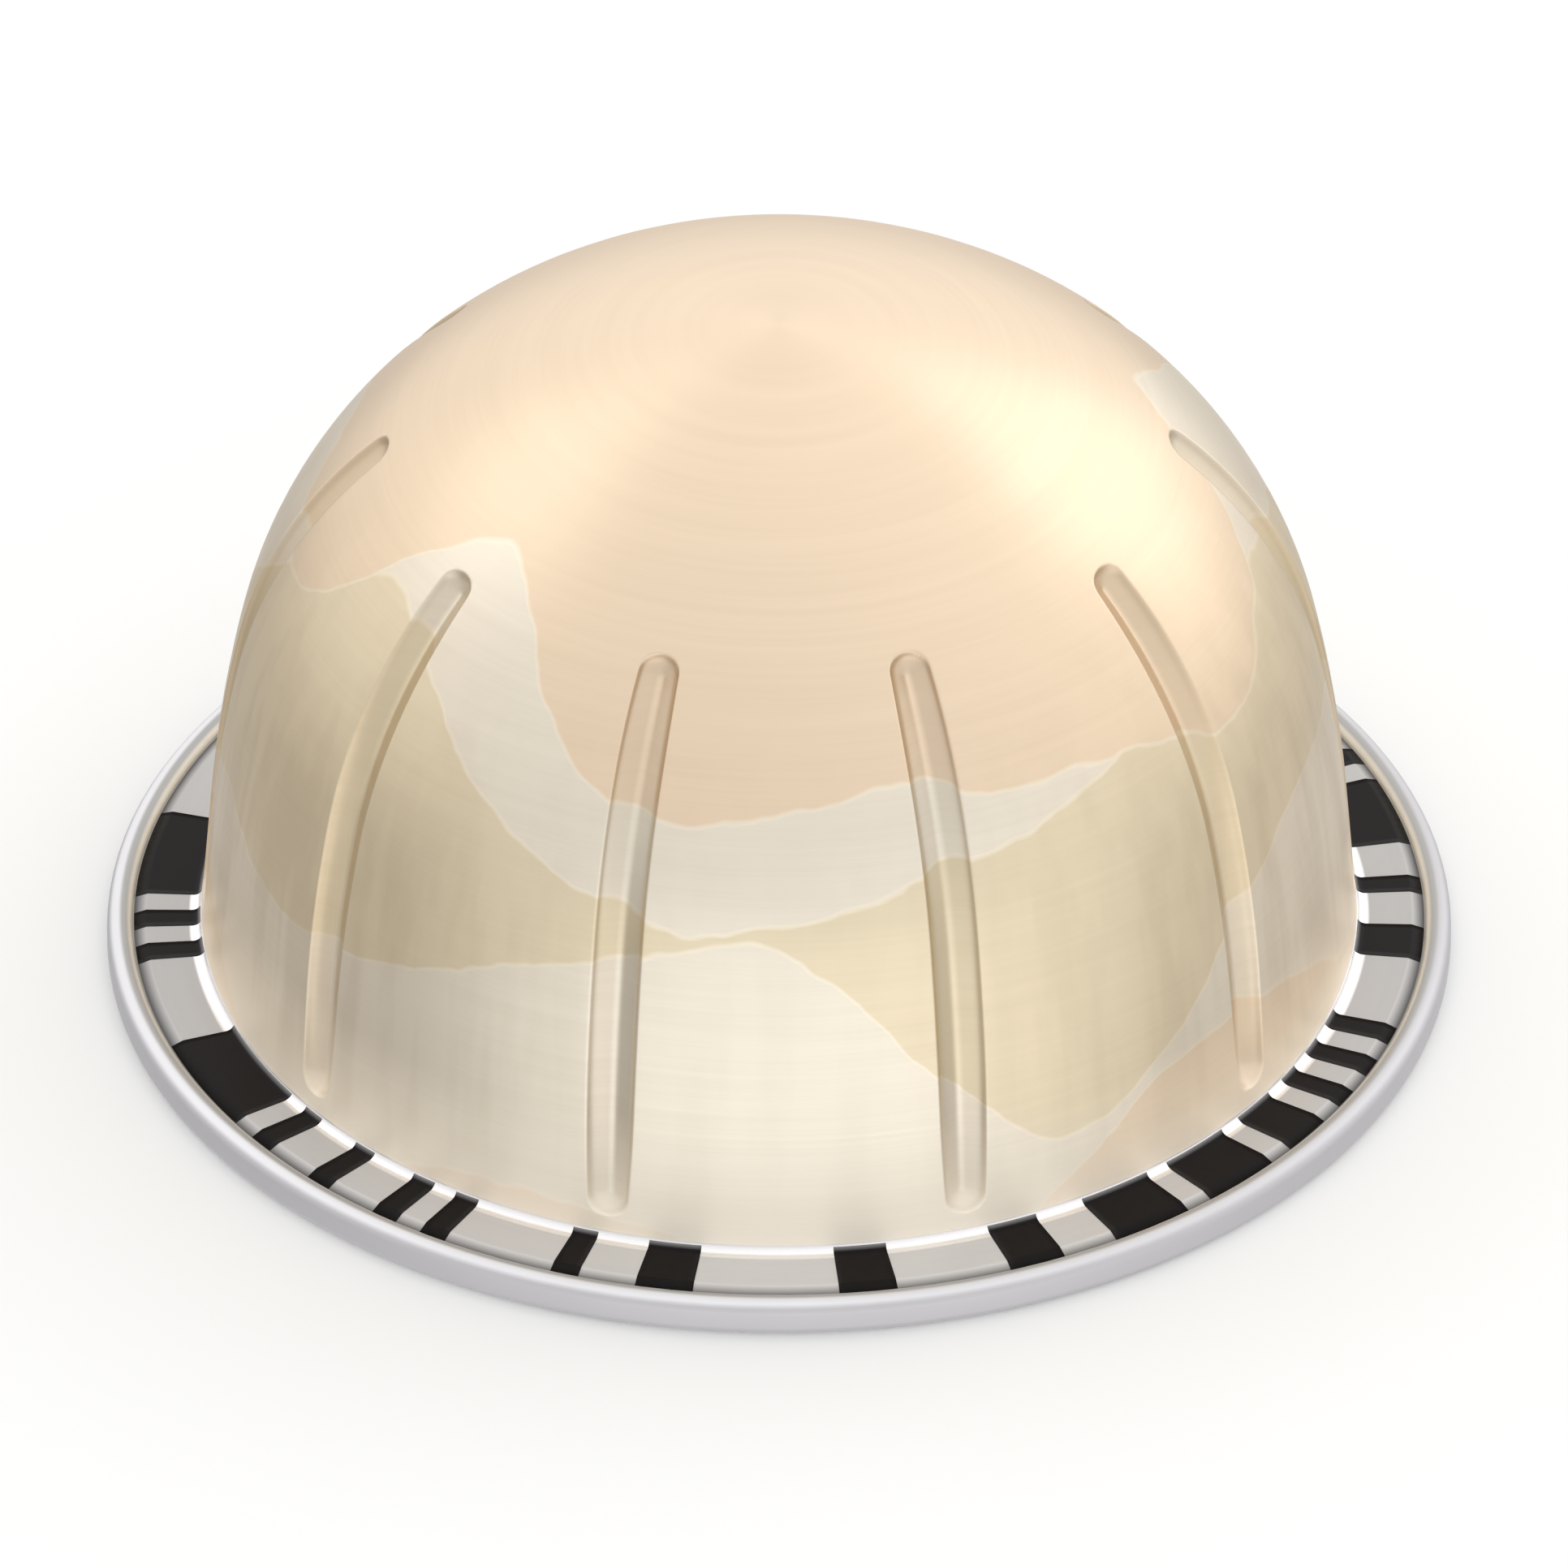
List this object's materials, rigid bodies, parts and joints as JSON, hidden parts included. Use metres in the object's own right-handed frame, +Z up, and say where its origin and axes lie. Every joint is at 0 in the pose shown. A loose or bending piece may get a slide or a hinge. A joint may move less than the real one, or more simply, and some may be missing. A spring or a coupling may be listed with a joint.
{
  "type": "coffee pod",
  "caption": "Sealed domed coffee pod of champagne-lacquered aluminium with pressed grooves, a flange with a ring of printed bars, a rolled rim and a foil lid.",
  "frame": {"origin": "centre of the flat ring on the rolled rim's foot, on which the pod stands", "axes": "+Z up along the pod's own axis, out through the middle of the dome; -Y to the front, between two of the pressed grooves"},
  "size_m": [0.06, 0.06, 0.0336],
  "materials": {
    "lacquered_aluminium": "brushed, with a clear champagne lacquer on the dome and bare metal on the flange",
    "lid_foil": "soft satin foil, heat-sealed",
    "black_ink": "printed black ink film"
  },
  "bodies": {
    "root": {"capsule_body": "lacquered_aluminium", "code_bar_01": "black_ink", "code_bar_02": "black_ink", "code_bar_03": "black_ink", "code_bar_04": "black_ink", "code_bar_05": "black_ink", "code_bar_06": "black_ink", "code_bar_07": "black_ink", "code_bar_08": "black_ink", "code_bar_09": "black_ink", "code_bar_10": "black_ink", "code_bar_11": "black_ink", "code_bar_12": "black_ink", "code_bar_13": "black_ink", "code_bar_14": "black_ink", "code_bar_15": "black_ink", "code_bar_16": "black_ink", "code_bar_17": "black_ink", "code_bar_18": "black_ink", "code_bar_19": "black_ink", "code_bar_20": "black_ink", "code_bar_21": "black_ink", "code_bar_22": "black_ink", "code_bar_23": "black_ink", "code_bar_24": "black_ink", "code_bar_25": "black_ink", "code_bar_26": "black_ink", "code_bar_27": "black_ink", "code_bar_28": "black_ink", "code_bar_29": "black_ink", "code_bar_30": "black_ink", "code_bar_31": "black_ink", "code_bar_32": "black_ink", "code_bar_33": "black_ink", "code_bar_34": "black_ink", "code_bar_35": "black_ink", "foil_lid": "lid_foil"}
  },
  "joints": []
}
